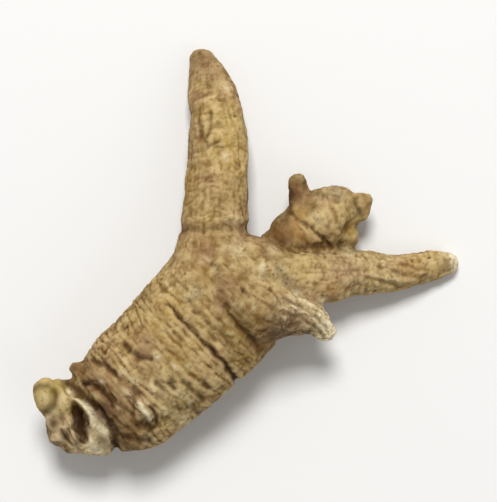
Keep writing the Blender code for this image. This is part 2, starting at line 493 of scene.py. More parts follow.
@dataclass(frozen=True)
class Mark:
    """A cut, fold or scar on the upper side; some of them are darkened as painted shadow.

    Attributes:
        trace: Where it runs, x and y in millimetres.
        width: Half its width.
        depth: Its depth, or its height where that is below 0.
        dirt_and_shade: How dark it is, from 0 to 1: soil in the cuts, painted shadow in the marks that stand
            for shade.
        wraps: True if it runs on down the root's flanks.
        taper: Its width at the trace's start, as a share of the width at its end.
    """

    trace: Trace
    width: float
    depth: float
    dirt_and_shade: float = 1.0
    wraps: bool = False
    taper: float = 1.0

    def strength(self, points: Array, facing: Array) -> Array:
        """How much of the mark each point has, from 0 to 1.

        Args:
            points: Places in millimetres.
            facing: The upward part of each point's normal.

        Returns:
            One number for each point.
        """
        corners = np.array(self.trace)
        reach = 0.5 + 4.0 * self.width * max(1.0, self.taper)
        flat = points[:, :2]
        near = ((flat > corners.min(axis=0) - reach) & (flat < corners.max(axis=0) + reach)).all(axis=1)
        strength = np.zeros(len(points))
        if not near.any():
            return strength
        points = points[near]
        wander = 0.14 * layered_noise(points / 1.2, 91, 2)
        distance, along = trace_distance(points + wander[:, None], self.trace)
        width = self.width * (self.taper + (1.0 - self.taper) * along)
        shown = smoothstep(-0.5, 0.1, facing[near]) if self.wraps else smoothstep(0.0, 0.4, facing[near])
        strength[near] = np.exp(-((distance / width) ** 2)) * shown
        return strength


@dataclass(frozen=True)
class Patch:
    """A stain, a bleached spot or a patch of painted shade on the upper side.

    Attributes:
        x: Its centre, in millimetres.
        y: Its centre, in millimetres.
        size: Its radius, in millimetres.
        strength: How strong it is, from 0 to 1.
    """

    x: float
    y: float
    size: float
    strength: float = 1.0

    def shown(self, points: Array, facing: Array) -> Array:
        """How much of the patch each point has, with a ragged edge."""
        away = np.hypot(points[:, 0] - self.x, points[:, 1] - self.y)
        near = away < 3.0 * self.size
        shown = np.zeros(len(points))
        if near.any():
            ragged = away[near] * (1.0 + 0.35 * layered_noise(points[near] / (self.size * 0.7), 57, 2))
            shown[near] = self.strength * bump(ragged, self.size) * smoothstep(-0.5, 0.0, facing[near])
        return shown


def patches(*rows: tuple[float, float, float, float]) -> tuple[Patch, ...]:
    """Stains, bleached spots or patches of painted shade, from rows of x, y, size and strength."""
    return tuple(Patch(*row) for row in rows)


@dataclass(frozen=True)
class Spots:
    """Small scars scattered over the limbs, such as lenticels and the pits where rootlets broke off.

    Attributes:
        count: How many there are.
        along: Half their size along the limb, smallest and largest, in millimetres.
        across: Half their size across the limb, smallest and largest, in millimetres.
        seed: Picks their places.
    """

    count: int
    along: tuple[float, float]
    across: tuple[float, float]
    seed: int

    def strength(self, points: Array, limbs: "list[Limb]") -> Array:
        """How much of a spot each point has, from 0 to 1.

        Args:
            points: Places in millimetres.
            limbs: The limbs that carry the spots, the thick ones more of them.

        Returns:
            One number for each point.
        """
        random = np.random.default_rng(self.seed)
        shares = np.array([limb.radius * limb.length() for limb in limbs])
        found = np.zeros(len(points))
        for _ in range(self.count):
            limb = limbs[random.choice(len(limbs), p=shares / shares.sum())]
            spot, forward, outward = limb.surface_point(random.uniform(0.12, 0.95), random.uniform(0.0, 2.0))
            away = points - spot
            near = np.abs(away).max(axis=1) < 2.0
            away = away[near]
            along = away @ forward / random.uniform(*self.along)
            across = away @ np.cross(forward, outward) / random.uniform(*self.across)
            deep = away @ outward / 1.5
            found[near] = np.maximum(found[near], np.exp(-(along**2) - across**4 - deep**4))
        return found


LENTICELS = Spots(46, (0.12, 0.2), (0.35, 0.9), 12)
ROOTLET_PITS = Spots(60, (0.14, 0.28), (0.16, 0.4), 7)
WARTS = Spots(150, (0.25, 0.5), (0.25, 0.55), 31)

CUTS = (
    Mark(
        ((-9.9, -6.3), (-8.9, -7.3), (-5.4, -10.9), (-2.7, -13.7), (-1.0, -16.4)),
        0.3, 0.55, 1.0, True, 0.55,
    ),
    Mark(((-1.8, -15.2), (-1.0, -16.4), (0.6, -18.6)), 0.3, 0.5, 0.9, True),
    Mark(((-2.4, -14.2), (-2.1, -14.7)), 0.36, 0.3, 0.9),
    Mark(((-8.4, -6.6), (-5.5, -9.8), (-2.4, -13.2)), 0.34, -0.14, 0.0),
    Mark(((-7.4, -5.6), (-4.6, -8.6), (-1.6, -11.4)), 0.22, 0.16, 0.45),
    # The broad band is carved where the stub's mass overhangs the trunk; its soft darkness is painted shade.
    Mark(((-2.6, -6.4), (-1.1, -8.9), (0.6, -10.7), (2.0, -11.9)), 0.95, 0.6, 0.33, True, 0.55),
    Mark(((-2.5, -6.8), (-1.0, -9.0), (0.6, -10.6), (1.4, -11.4)), 0.36, 0.48, 0.8, True, 0.5),
    Mark(((-3.9, -1.4), (-3.4, -4.4), (-2.6, -6.8)), 0.7, 0.25, 0.3),
    Mark(((-15.3, -11.2), (-14.5, -12.1), (-13.3, -12.8), (-12.0, -13.0)), 0.28, 0.42, 0.75, False, 1.1),
    Mark(((-14.4, -10.8), (-12.6, -11.5), (-10.9, -11.9)), 0.85, -0.28, 0.0),
    Mark(((4.0, -1.7), (5.1, -3.4), (6.8, -4.6), (9.0, -6.2)), 0.45, 0.3, 0.2),
    Mark(((-8.8, 3.4), (-5.6, 3.3), (-2.6, 3.6), (0.2, 3.2)), 0.55, 0.2, 0.3, True),
    Mark(((-8.8, 3.0), (-6.0, 3.1), (-3.4, 3.4)), 0.18, 0.12, 0.5, True),
    Mark(((-8.4, 4.4), (-5.4, 4.4), (-2.4, 4.6), (0.2, 4.4)), 0.4, -0.16, 0.0, True),
    Mark(((-6.1, 18.4), (-5.9, 15.4), (-5.0, 13.6), (-3.6, 14.3)), 0.22, 0.2, 0.55),
    Mark(((-4.6, 18.2), (-4.5, 16.2), (-5.1, 14.8)), 0.18, 0.16, 0.5),
    Mark(((-6.6, 19.2), (-5.2, 19.5), (-3.4, 19.1)), 0.24, -0.16, 0.0),
    Mark(((-5.4, 18.2), (-5.2, 16.0), (-4.6, 14.6)), 0.2, -0.12, 0.0),
    Mark(((4.7, 5.8), (6.6, 4.4), (8.4, 3.2)), 0.24, 0.24, 0.6),
    Mark(((8.2, 3.3), (9.6, 2.1), (10.9, 0.9)), 0.32, 0.34, 0.9, False, 0.5),
    # Two bands along the back branch's lower edge, against the side limb: carved, and darkened partly as
    # soil, partly as painted contact shadow.
    Mark(((2.6, 3.1), (5.1, 1.3), (6.8, 0.9), (10.0, 0.9), (13.8, 1.1)), 0.7, 0.3, 0.3),
    Mark(((3.4, 2.3), (5.1, 1.1), (7.5, 0.85), (10.0, 0.95)), 0.26, 0.32, 0.6),
    Mark(((13.9, 7.2), (14.0, 6.2), (14.5, 4.9)), 0.28, 0.26, 0.45),
    Mark(((10.2, 7.7), (11.3, 8.1), (12.3, 7.7)), 0.9, -0.5, 0.0, True),
    Mark(((15.0, -2.9), (17.3, -3.4), (19.6, -4.2)), 0.24, 0.25, 0.4, False, 0.5),
    Mark(((14.6, -2.5), (17.4, -3.0), (20.4, -3.5)), 0.36, -0.16, 0.0),
    Mark(((16.6, -1.5), (18.6, -2.0), (20.6, -2.8), (22.8, -3.0)), 0.28, 0.24, 0.35, False, 0.4),
    Mark(((19.4, -0.9), (21.4, -1.8), (23.4, -2.0)), 0.22, 0.14, 0.3),
    Mark(((25.2, -2.3), (25.6, -1.5), (25.4, -0.6)), 0.3, 0.16, 0.35),
)
SHOULDER_FOLDS = (
    Mark(((-20.6, -16.3), (-19.6, -16.2), (-18.4, -16.7), (-17.3, -17.7), (-16.8, -18.9)), 0.36, 0.55, 1.0),
    Mark(((-20.1, -15.4), (-18.9, -15.0), (-17.2, -15.7), (-16.0, -16.9)), 0.5, -0.22, 0.0),
    Mark(((-19.4, -17.5), (-18.0, -18.6), (-17.0, -20.2)), 0.42, -0.3, 0.0),
    Mark(((-19.6, -13.2), (-17.8, -13.9), (-16.9, -14.6), (-15.9, -15.5)), 0.24, 0.2, 0.7),
    Mark(((-16.9, -18.0), (-15.3, -19.1), (-14.3, -20.1), (-13.5, -21.6)), 0.3, 0.32, 0.6),
    Mark(((-14.2, -17.6), (-14.1, -18.9), (-14.2, -20.1)), 0.26, 0.28, 0.6),
    Mark(((-16.4, -21.7), (-14.4, -22.0), (-12.4, -21.7), (-9.8, -20.5), (-6.6, -19.0)), 0.28, 0.24, 0.4),
    Mark(((-17.0, -22.4), (-14.8, -23.0), (-12.4, -23.4)), 0.5, 0.3, 0.8),
)
CHIP = Mark(((-13.4, -18.5), (-12.9, -19.4), (-12.2, -20.5)), 0.58, -0.42, 0.0, False, 0.6)
# A groove beside the chip, darkened as the chip's painted shadow.
CHIP_EDGE_SHADOW = Mark(
    ((-12.1, -18.8), (-11.3, -20.2), (-11.5, -21.5), (-12.4, -22.0)),
    0.38, 0.42, 0.95, False, 0.5,
)
HOLLOWS = (
    Mark(((-9.5, -15.6), (-9.1, -16.6)), 0.34, 0.3, 0.75),
    Mark(((-7.9, -15.8), (-6.8, -17.1)), 0.3, 0.3, 0.75),
    Mark(((-5.4, -15.8), (-4.9, -16.5)), 0.34, 0.24, 0.65),
    Mark(((-11.2, -15.9), (-10.6, -16.4)), 0.34, 0.24, 0.65),
    Mark(((-17.9, -13.5), (-17.4, -14.1)), 0.34, 0.24, 0.75),
    Mark(((-16.9, -14.4), (-16.4, -14.9)), 0.34, 0.24, 0.75),
    Mark(((-14.1, -16.7), (-13.5, -17.3)), 0.36, 0.26, 0.7),
    Mark(((-6.1, -17.5), (-5.5, -18.3)), 0.36, 0.24, 0.65),
    Mark(((-9.2, -19.2), (-7.8, -19.6)), 0.36, 0.2, 0.5),
    Mark(((-6.8, -19.5), (-5.9, -20.0)), 0.36, 0.24, 0.65),
    Mark(((-7.9, -4.0), (-7.5, -4.3)), 0.28, 0.12, 0.4),
    Mark(((-1.6, -6.3), (-1.6, -7.1), (-0.9, -7.6), (-0.3, -7.0)), 0.2, 0.14, 0.4),
)
BEADS = (
    Mark(((-9.2, -13.6), (-8.9, -14.1)), 0.4, -0.16, 0.0),
    Mark(((-11.9, -16.2), (-11.3, -16.9)), 0.42, -0.16, 0.0),
    Mark(((-8.8, -16.9), (-8.3, -17.7)), 0.32, -0.2, 0.0),
    Mark(((-7.7, -17.7), (-7.2, -19.0)), 0.3, -0.2, 0.0),
    Mark(((-14.3, -15.4), (-13.8, -15.9)), 0.4, -0.14, 0.0),
    Mark(((-15.9, -14.3), (-15.3, -14.7)), 0.36, -0.14, 0.0),
    Mark(((-15.3, -17.2), (-14.6, -17.6)), 0.45, -0.14, 0.0),
    Mark(((-10.6, -19.2), (-9.9, -19.8)), 0.45, -0.14, 0.0),
    Mark(((-11.4, -12.4), (-11.0, -12.7)), 0.4, -0.14, 0.0),
)
STUB_RIDGES = (
    Mark(((5.2, -4.8), (7.4, -5.8), (9.3, -7.2), (10.7, -8.9)), 0.34, -0.2, 0.0),
    Mark(((5.6, -6.4), (7.6, -7.4), (9.0, -8.6), (10.2, -10.4)), 0.3, -0.16, 0.0),
    Mark(((6.6, -8.2), (8.2, -9.2), (9.4, -10.5)), 0.26, -0.12, 0.0),
)
STUB_FURROWS = (
    Mark(((4.4, -5.4), (6.8, -6.5), (8.6, -7.8), (10.0, -9.4)), 0.22, 0.24, 0.5),
    Mark(((4.4, -7.0), (6.6, -7.9), (8.4, -9.0), (9.6, -10.4)), 0.24, 0.24, 0.6),
)
BUD_CAP = Mark(((-26.9, -17.0), (-26.1, -16.45), (-25.0, -16.4)), 0.45, 0.08, 0.65, True)
RAISED = (*BEADS, *STUB_RIDGES)
MARKS = (*CUTS, *SHOULDER_FOLDS, CHIP_EDGE_SHADOW, BUD_CAP, *STUB_FURROWS, *HOLLOWS, *RAISED, CHIP)
CALM_BANDS = (
    Mark(((-10.4, -6.0), (-8.9, -7.3), (-5.4, -10.9), (-2.7, -13.7), (-1.0, -16.4)), 0.75, 0.0, 0.0, True),
    Mark(((-2.5, -6.8), (-1.0, -9.0), (0.6, -10.6), (2.1, -11.9)), 0.7, 0.0, 0.0, True),
    Mark(((-15.0, -11.2), (-13.6, -12.1), (-11.8, -12.6)), 0.9, 0.0, 0.0),
)

OCHRE_PATCHES = patches(
    (-12.0, -8.3, 2.2, 0.8), (-9.6, -6.9, 1.6, 0.8), (7.6, 5.3, 2.3, 1.0), (7.6, 5.6, 1.6, 0.8),
    (-1.9, 12.6, 2.2, 0.7), (-2.4, 17.0, 2.0, 0.6), (6.4, -3.4, 1.8, 0.6), (-9.6, -19.6, 2.2, 0.5),
)
ROSE_PATCHES = patches(
    (-12.7, -11.3, 1.9, 1.0), (-19.0, -15.6, 2.2, 1.0), (-17.6, -18.9, 1.6, 0.9),
    (-14.8, -20.6, 2.0, 0.5), (-3.3, -6.2, 1.8, 0.6), (-5.0, 0.4, 2.0, 0.7), (-2.6, -3.8, 1.6, 0.7),
    (12.6, -2.2, 2.4, 0.6), (6.2, -6.4, 2.0, 0.6), (-4.6, 9.4, 1.8, 0.5), (-5.6, 24.0, 2.2, 0.9),
    (-6.6, 20.0, 1.4, 0.8), (7.3, -7.9, 1.5, 0.7), (-14.9, -16.0, 1.6, 0.6), (6.6, 7.8, 1.1, 0.9),
    (-15.4, -19.0, 2.0, 0.6), (-6.6, 15.0, 1.6, 0.5),
)
# Reddish-brown patches: stains, and the last three, under the stub, are painted reddish shade.
RUST_AND_SHADE_PATCHES = patches(
    (-14.9, -23.1, 1.9, 0.8), (-17.2, -20.8, 1.6, 0.9), (-18.6, -17.2, 1.2, 0.3), (-5.2, 0.1, 0.9, 0.6),
    (5.5, 8.2, 1.6, 1.0), (3.7, 2.2, 1.5, 1.0), (10.2, -5.8, 0.8, 0.5), (4.1, -6.5, 1.1, 0.5),
    (16.0, 6.4, 0.9, 0.7), (-21.8, -14.4, 1.1, 1.0), (-3.2, -5.6, 0.8, 0.8), (5.8, 7.6, 1.3, 1.0),
    (5.4, -8.3, 1.6, 1.0), (3.4, -10.1, 1.9, 1.0), (1.1, -11.0, 1.2, 1.0),
)
STRAW_PATCHES = patches(
    (8.0, -1.6, 2.2, 0.8), (-4.6, 12.2, 1.7, 0.7), (-2.5, 17.0, 1.8, 0.9), (8.6, 4.5, 1.4, 0.9),
    (-12.0, -9.0, 1.8, 0.6), (5.0, -4.2, 1.2, 0.6), (6.9, -5.7, 1.3, 0.8), (-19.8, -24.3, 1.2, 0.9),
    (-5.4, 21.8, 1.3, 0.5), (-7.2, -16.2, 1.8, 0.5), (-9.8, -22.2, 1.7, 0.6), (-2.0, 8.0, 1.4, 0.5),
    (-7.1, -5.3, 1.3, 1.0), (-8.4, -20.8, 1.4, 0.9), (-10.6, -22.0, 1.4, 0.7),
)
AMBER_PATCHES = patches(
    (6.4, 3.2, 1.6, 1.0), (20.9, -1.7, 1.6, 1.0), (10.6, -4.6, 1.4, 0.9), (7.9, -4.8, 1.3, 0.8),
    (8.9, -4.9, 1.3, 0.7), (5.4, -8.2, 1.9, 0.9), (3.6, -9.9, 1.9, 0.9),
)
# Brown patches. Some are stains; many are painted shade, under the stub, along the back branch's lower edge
# and where the limbs' edges turn down.
UMBER_AND_SHADE_PATCHES = patches(
    (-17.6, -18.6, 4.4, 1.0), (-15.0, -20.8, 3.6, 1.0), (-19.6, -14.6, 2.4, 0.9), (-5.4, -18.6, 2.4, 0.4),
    (-6.2, 24.8, 1.9, 1.0), (-0.9, -6.9, 1.3, 1.0), (5.8, -8.6, 1.4, 0.9), (3.4, -7.2, 1.4, 0.9),
    (0.9, -6.7, 1.2, 0.8), (11.1, 7.8, 1.4, 1.0), (-12.8, -5.2, 1.5, 1.0), (-5.1, -3.1, 1.5, 1.0),
    (-12.6, -11.6, 1.7, 0.9), (-3.1, -9.4, 1.3, 0.9), (-1.6, -12.1, 1.4, 1.0), (-11.6, -13.5, 1.1, 0.8),
    (-13.2, -17.5, 1.1, 0.8), (-4.9, 22.7, 1.6, 0.9), (-3.1, 12.1, 1.2, 0.6), (-3.6, 2.4, 1.2, 0.7),
    (-2.1, 6.4, 1.2, 0.6), (10.9, 4.4, 1.3, 0.7), (14.7, 6.9, 1.1, 0.8), (-8.9, -12.4, 1.4, 0.8),
    (-8.9, -15.1, 1.4, 0.9), (-14.1, -16.0, 1.2, 0.9), (-11.1, -9.6, 1.3, 0.6), (-7.5, 3.4, 1.3, 1.0),
    (-6.9, 9.8, 1.4, 0.8), (-6.5, 14.4, 1.3, 0.9), (-6.4, 8.0, 1.1, 0.7), (-2.0, 8.9, 1.3, 0.8),
    (-0.4, -5.9, 1.2, 0.8), (4.4, -7.6, 1.4, 0.7), (-6.8, 5.6, 1.2, 0.8), (-0.4, -9.8, 3.0, 0.9),
    (1.9, -9.0, 2.2, 0.9), (4.6, -9.4, 2.4, 1.0), (7.6, -10.0, 1.5, 0.9), (-2.2, -5.6, 2.2, 0.5),
    (-7.2, 10.8, 1.4, 0.6), (-1.0, 7.0, 1.2, 0.5), (4.6, 2.6, 2.6, 0.9), (11.6, 1.8, 2.6, 0.8),
    (15.4, 5.4, 1.6, 0.7), (6.2, 9.0, 1.6, 1.0), (5.0, 4.4, 1.3, 0.9), (-8.0, -7.6, 1.4, 0.6),
    (-7.9, 6.8, 1.1, 0.8), (-7.7, 13.0, 1.1, 0.8), (-7.3, 18.4, 1.0, 0.8), (-1.6, -3.6, 1.8, 0.7),
    (22.6, -3.2, 1.3, 0.8), (20.9, -2.1, 1.3, 0.9), (12.4, -2.9, 1.2, 0.6), (16.4, -5.2, 1.3, 0.7),
    (7.5, 5.9, 1.3, 1.0), (7.2, 1.8, 1.5, 0.8), (13.9, 6.6, 1.0, 0.8), (3.2, -9.4, 1.8, 0.9),
)
PALE_PATCHES = patches(
    (1.9, -1.5, 0.6, 0.8), (-2.7, 12.4, 0.5, 0.7), (-2.7, 21.3, 0.5, 0.6), (3.2, 0.6, 0.7, 0.4),
    (11.4, 8.0, 0.9, 0.6), (-11.2, -12.6, 0.5, 0.8), (-12.4, -20.0, 0.6, 0.9), (-13.0, -19.3, 0.5, 0.8),
    (-18.2, -15.9, 0.35, 0.8), (-9.0, -16.8, 0.5, 0.4), (-23.2, -18.4, 0.9, 0.5),
    (-19.4, -24.2, 1.5, 1.0), (-19.1, -20.7, 0.8, 0.9), (-17.9, -23.6, 0.9, 0.5),
    (-18.6, -21.6, 0.7, 1.0), (-25.5, -18.0, 0.8, 0.6), (-25.2, -21.0, 0.5, 0.8),
    (-24.0, -22.7, 0.7, 0.7), (-23.0, -21.8, 0.6, 0.7), (-23.4, -23.6, 0.5, 0.6),
    (-21.8, -24.3, 0.6, 0.7), (-24.6, -19.6, 0.8, 0.7), (9.3, -7.3, 1.2, 0.7), (9.7, -8.9, 1.5, 1.0),
    (9.1, 7.1, 0.9, 0.3), (1.6, -2.7, 1.0, 0.35), (-2.1, 4.3, 0.9, 0.3), (-9.6, -16.8, 2.6, 0.25),
    (-6.4, -4.7, 0.9, 0.4), (9.3, -5.7, 0.9, 0.7), (7.9, -4.6, 0.9, 0.45), (-0.9, 0.6, 1.2, 0.5),
    (-18.9, -24.5, 1.5, 0.9), (-17.9, -22.0, 1.1, 1.0), (5.2, -3.4, 1.2, 0.45), (6.3, -4.9, 1.1, 0.7),
    (3.9, -2.0, 1.1, 0.4), (8.9, 4.6, 1.0, 0.5), (12.8, 0.5, 1.0, 0.6), (14.0, 4.9, 0.8, 0.35),
    (18.6, -3.0, 1.0, 0.35), (-7.1, -5.1, 0.8, 0.45), (-12.4, -23.1, 1.0, 0.35), (-8.1, -20.7, 1.1, 0.5),
    (-4.1, -1.7, 0.4, 0.7), (0.8, -6.6, 0.35, 0.6), (-1.5, -6.2, 0.35, 0.5), (-3.5, -2.8, 0.35, 0.4),
    (-1.9, -1.4, 0.35, 0.4),
)
# Dark spots: soil on the head, and painted shade under the stub, near the neck and along the back branch's
# lower edge.
SOIL_AND_SHADE_SPOTS = patches(
    (-20.1, -20.3, 0.5, 0.7), (-24.4, -21.3, 0.8, 0.9), (-25.5, -21.9, 0.7, 0.8),
    (-25.1, -22.8, 0.5, 0.7), (-22.9, -22.8, 0.7, 0.9), (-24.0, -24.2, 0.7, 0.8),
    (-22.7, -24.7, 0.6, 0.7), (-21.3, -23.6, 0.9, 0.7), (-18.3, -23.4, 0.8, 0.45),
    (-18.0, -19.6, 1.5, 0.9), (-19.9, -17.9, 0.9, 0.4), (-15.6, -21.8, 1.1, 0.4),
    (-12.9, -21.3, 1.1, 0.6), (-0.7, -7.9, 1.3, 0.55), (-2.9, -9.5, 1.1, 0.3), (-7.0, -18.6, 0.9, 0.3),
    (5.6, -8.6, 1.6, 0.6), (4.8, 4.5, 1.2, 0.4), (5.1, 1.5, 1.2, 0.55), (11.3, 8.2, 1.3, 0.3),
    (-16.5, -20.3, 1.2, 0.55), (-20.6, -14.4, 1.0, 0.35), (-1.0, -6.8, 1.1, 0.4), (3.4, -9.0, 1.7, 0.65),
    (6.5, 9.4, 1.2, 0.4), (-6.6, 25.2, 1.2, 0.25), (-21.9, -14.3, 0.6, 0.6), (4.6, -10.0, 1.8, 0.5),
    (1.9, -9.8, 1.8, 0.4), (7.4, -10.1, 1.2, 0.5), (5.5, 7.5, 1.0, 0.65), (7.2, 9.0, 0.7, 0.5),
    (6.4, 1.4, 1.2, 0.35), (3.4, -9.7, 1.7, 0.6), (8.4, 6.0, 0.6, 0.4), (-15.9, -23.2, 1.3, 0.6),
    (-14.6, -24.8, 1.2, 0.4), (25.7, -1.6, 1.0, 0.55), (-2.6, -3.4, 0.35, 0.35), (-1.2, -2.8, 0.35, 0.35),
    (-0.5, -4.4, 0.4, 0.35),
)

# The stain masks by name; the umber and rust ones also carry painted shade.
STAINS_AND_SHADE = {
    "ochre": OCHRE_PATCHES,
    "rose": ROSE_PATCHES,
    "rust_and_shade": RUST_AND_SHADE_PATCHES,
    "amber": AMBER_PATCHES,
    "straw": STRAW_PATCHES,
    "umber_and_shade": UMBER_AND_SHADE_PATCHES,
}


# ---------------------------------------------------------------------------------------------------
# Blender helpers
# ---------------------------------------------------------------------------------------------------


def select_only(*objects: bpy.types.Object) -> None:
    """Selects these objects and nothing else, and makes the first one active."""
    bpy.ops.object.select_all(action="DESELECT")
    for piece in objects:
        piece.select_set(True)
    bpy.context.view_layer.objects.active = objects[0]


def apply_modifier(piece: bpy.types.Object, kind: str, **settings: Any) -> None:
    """Adds a modifier with these settings and applies it.

    Args:
        piece: The mesh object to change.
        kind: The modifier's type.
        settings: The values of its fields.
    """
    select_only(piece)
    modifier = piece.modifiers.new(kind.lower(), kind)
    for name, value in settings.items():
        setattr(modifier, name, value)
    bpy.ops.object.modifier_apply(modifier=modifier.name)


def read_points(piece: bpy.types.Object) -> Array:
    """The piece's points, in millimetres, one row each."""
    flat = np.empty(len(piece.data.vertices) * 3, np.float32)
    piece.data.vertices.foreach_get("co", flat)
    return flat.reshape(-1, 3).astype(np.float64) / MM


def write_points(piece: bpy.types.Object, points: Array) -> None:
    """Moves the piece's points to these places, given in millimetres."""
    piece.data.vertices.foreach_set("co", (points * MM).astype(np.float32).ravel())
    piece.data.update()


def read_normals(piece: bpy.types.Object) -> Array:
    """The normals of the piece's points, one row each."""
    flat = np.empty(len(piece.data.vertices) * 3, np.float32)
    piece.data.vertex_normals.foreach_get("vector", flat)
    return flat.reshape(-1, 3).astype(np.float64)


def store_mask(piece: bpy.types.Object, name: str, values: Array) -> None:
    """Stores one number for each point, from 0 to 1, for the material to read."""
    layer = piece.data.attributes.new(name, "FLOAT", "POINT")
    layer.data.foreach_set("value", np.clip(values, 0.0, 1.0).astype(np.float32))


def smoothed(piece: bpy.types.Object, points: Array, passes: int) -> Array:
    """The points after each has moved, again and again, to the middle of its neighbours.

    Args:
        piece: The mesh whose edges say which points are neighbours.
        points: The places to smooth.
        passes: How often they move.

    Returns:
        The smoothed places. The mesh itself stays as it is.
    """
    flat = np.empty(len(piece.data.edges) * 2, np.int32)
    piece.data.edges.foreach_get("vertices", flat)
    one, other = flat.reshape(-1, 2).T
    ends = np.concatenate([one, other])
    count = np.bincount(ends, minlength=len(points))[:, None]
    for _ in range(passes):
        across = points[np.concatenate([other, one])]
        total = np.stack([np.bincount(ends, across[:, axis], len(points)) for axis in range(3)], axis=1)
        points = 0.5 * (points + total / count)
    return points


# ---------------------------------------------------------------------------------------------------
# The head
# ---------------------------------------------------------------------------------------------------


@dataclass(frozen=True)
class Lobe:
    """A rounded lump of the head: its centre and radius, in millimetres."""

    x: float
    y: float
    z: float
    radius: float

    def build(self) -> bpy.types.Object:
        """A ball, a little wider than high."""
        bpy.ops.mesh.primitive_ico_sphere_add(
            subdivisions=4, radius=self.radius * MM, location=Vector((self.x, self.y, self.z)) * MM
        )
        lobe = bpy.context.object
        lobe.name = "head_lobe"
        bpy.ops.object.mode_set(mode="EDIT")
        bpy.ops.transform.resize(value=(1.0, 1.0, 0.86), center_override=lobe.location)
        bpy.ops.object.mode_set(mode="OBJECT")
        bpy.ops.object.transform_apply(location=True, rotation=True, scale=True)
        return lobe


def head_core() -> Limb:
    """The short thick stump."""
    route = (
        (-18.6, -20.2, 7.1, 0.86),
        (-20.3, -20.9, 7.2, 0.9),
        (-22.2, -21.6, 7.0, 0.82),
        (-23.3, -21.9, 6.9, 0.5),
    )
    return Limb("head_core", 5.0, route, Skin.WORN, 0.88)


def stem_bud() -> Limb:
    """The rounded bud at the stump's side."""
    route = ((-24.5, -20.3, 8.0, 0.8), (-25.2, -18.8, 9.2, 1.06), (-25.6, -16.9, 9.8, 1.02))
    return Limb("stem_bud", 1.55, route, Skin.SMOOTH)


def bud_collar() -> Limb:
    """The smooth collar that the bud grew out of."""
    route = ((-21.8, -18.9, 7.8, 1.1), (-23.1, -18.3, 8.3, 1.12), (-23.8, -18.1, 8.4, 1.0))
    return Limb("bud_collar", 2.4, route, Skin.SMOOTH)


def scar_rim() -> Limb:
    """The raised cream-coloured rim of the stem scar."""
    route = (
        (-22.4, -17.1, 9.5, 0.7),
        (-21.1, -18.1, 10.5, 0.8),
        (-20.0, -19.3, 11.0, 0.95),
        (-19.0, -21.1, 11.0, 1.05),
        (-18.4, -22.5, 10.2, 0.95),
    )
    return Limb("scar_rim", 0.72, route, Skin.PEBBLED)


@dataclass
class RhizomeHead:
    """The crown of the root: what is left of the rhizome that the stem grew from.

    Attributes:
        core: The short thick stump.
        bud: The rounded bud at its side.
        collar: The smooth skin around the bud.
        rim: The raised rim of the stem scar.
        lobes: Rounded lumps around the stump.
        scar_x: Centre of the stem scar.
        scar_y: Centre of the stem scar.
        scar_width: Half the scar's width.
        scar_length: Half the scar's length.
        scar_turn: How far the scar leans, in radians from +Y.
        scar_depth: Depth of the scar.
        neck: Where the head meets the trunk.
        bud_crease: The crescent between the bud and its collar, carved and darkened as a painted shadow line.
    """

    core: Limb = field(default_factory=head_core)
    bud: Limb = field(default_factory=stem_bud)
    collar: Limb = field(default_factory=bud_collar)
    rim: Limb = field(default_factory=scar_rim)
    lobes: tuple[Lobe, ...] = (
        Lobe(-18.5, -23.5, 7.4, 2.1),
        Lobe(-24.1, -21.2, 8.2, 1.7),
        Lobe(-24.0, -22.9, 8.0, 1.5),
        Lobe(-22.3, -23.8, 7.6, 1.6),
        Lobe(-20.0, -23.8, 8.4, 1.3),
    )
    scar_x: float = -21.1
    scar_y: float = -21.2
    scar_width: float = 0.85
    scar_length: float = 2.3
    scar_turn: float = 0.22
    scar_depth: float = 3.0
    neck: Mark = Mark(
        ((-22.7, -16.2), (-20.5, -17.9), (-18.8, -19.3), (-17.5, -20.8), (-16.8, -22.4), (-16.6, -25.0)),
        0.36,
        1.1,
        0.9,
        True,
        1.8,
    )
    # Carved crease, darkened as a painted shadow line between the bud and its collar.
    bud_crease: Mark = Mark(
        ((-26.4, -20.1), (-25.6, -20.1), (-24.9, -19.75), (-24.4, -19.1), (-24.1, -18.1), (-24.2, -17.1)),
        0.4,
        0.45,
        0.6,
    )

    def limbs(self) -> list[Limb]:
        """The parts of the head that are grown along a line."""
        return [self.core, self.collar, self.bud, self.rim]

    def build(self) -> list[bpy.types.Object]:
        """The head's lumps, bud and rim, still separate."""
        return [part.build() for part in [*self.limbs(), *self.lobes]]

    def scar(self, points: Array, facing: Array) -> Array:
        """How deep in the stem scar each point is, from 0 to 1."""
        x = points[:, 0] - self.scar_x
        y = points[:, 1] - self.scar_y
        along = y * math.cos(self.scar_turn) - x * math.sin(self.scar_turn)
        across = x * math.cos(self.scar_turn) + y * math.sin(self.scar_turn)
        across = across + 0.25 * layered_noise(points / 0.9, 71, 2)
        reach = (across / self.scar_width) ** 2 + (along / self.scar_length) ** 2
        return np.exp(-(reach**1.6)) * smoothstep(0.0, 0.2, facing)

    def extent(self, points: Array) -> Array:
        """1 on the head and 0 on the trunk, with a soft edge at the neck."""
        return smoothstep(0.35, -0.35, trace_distance(points, self.neck.trace)[0])


# ---------------------------------------------------------------------------------------------------
# The root
# ---------------------------------------------------------------------------------------------------


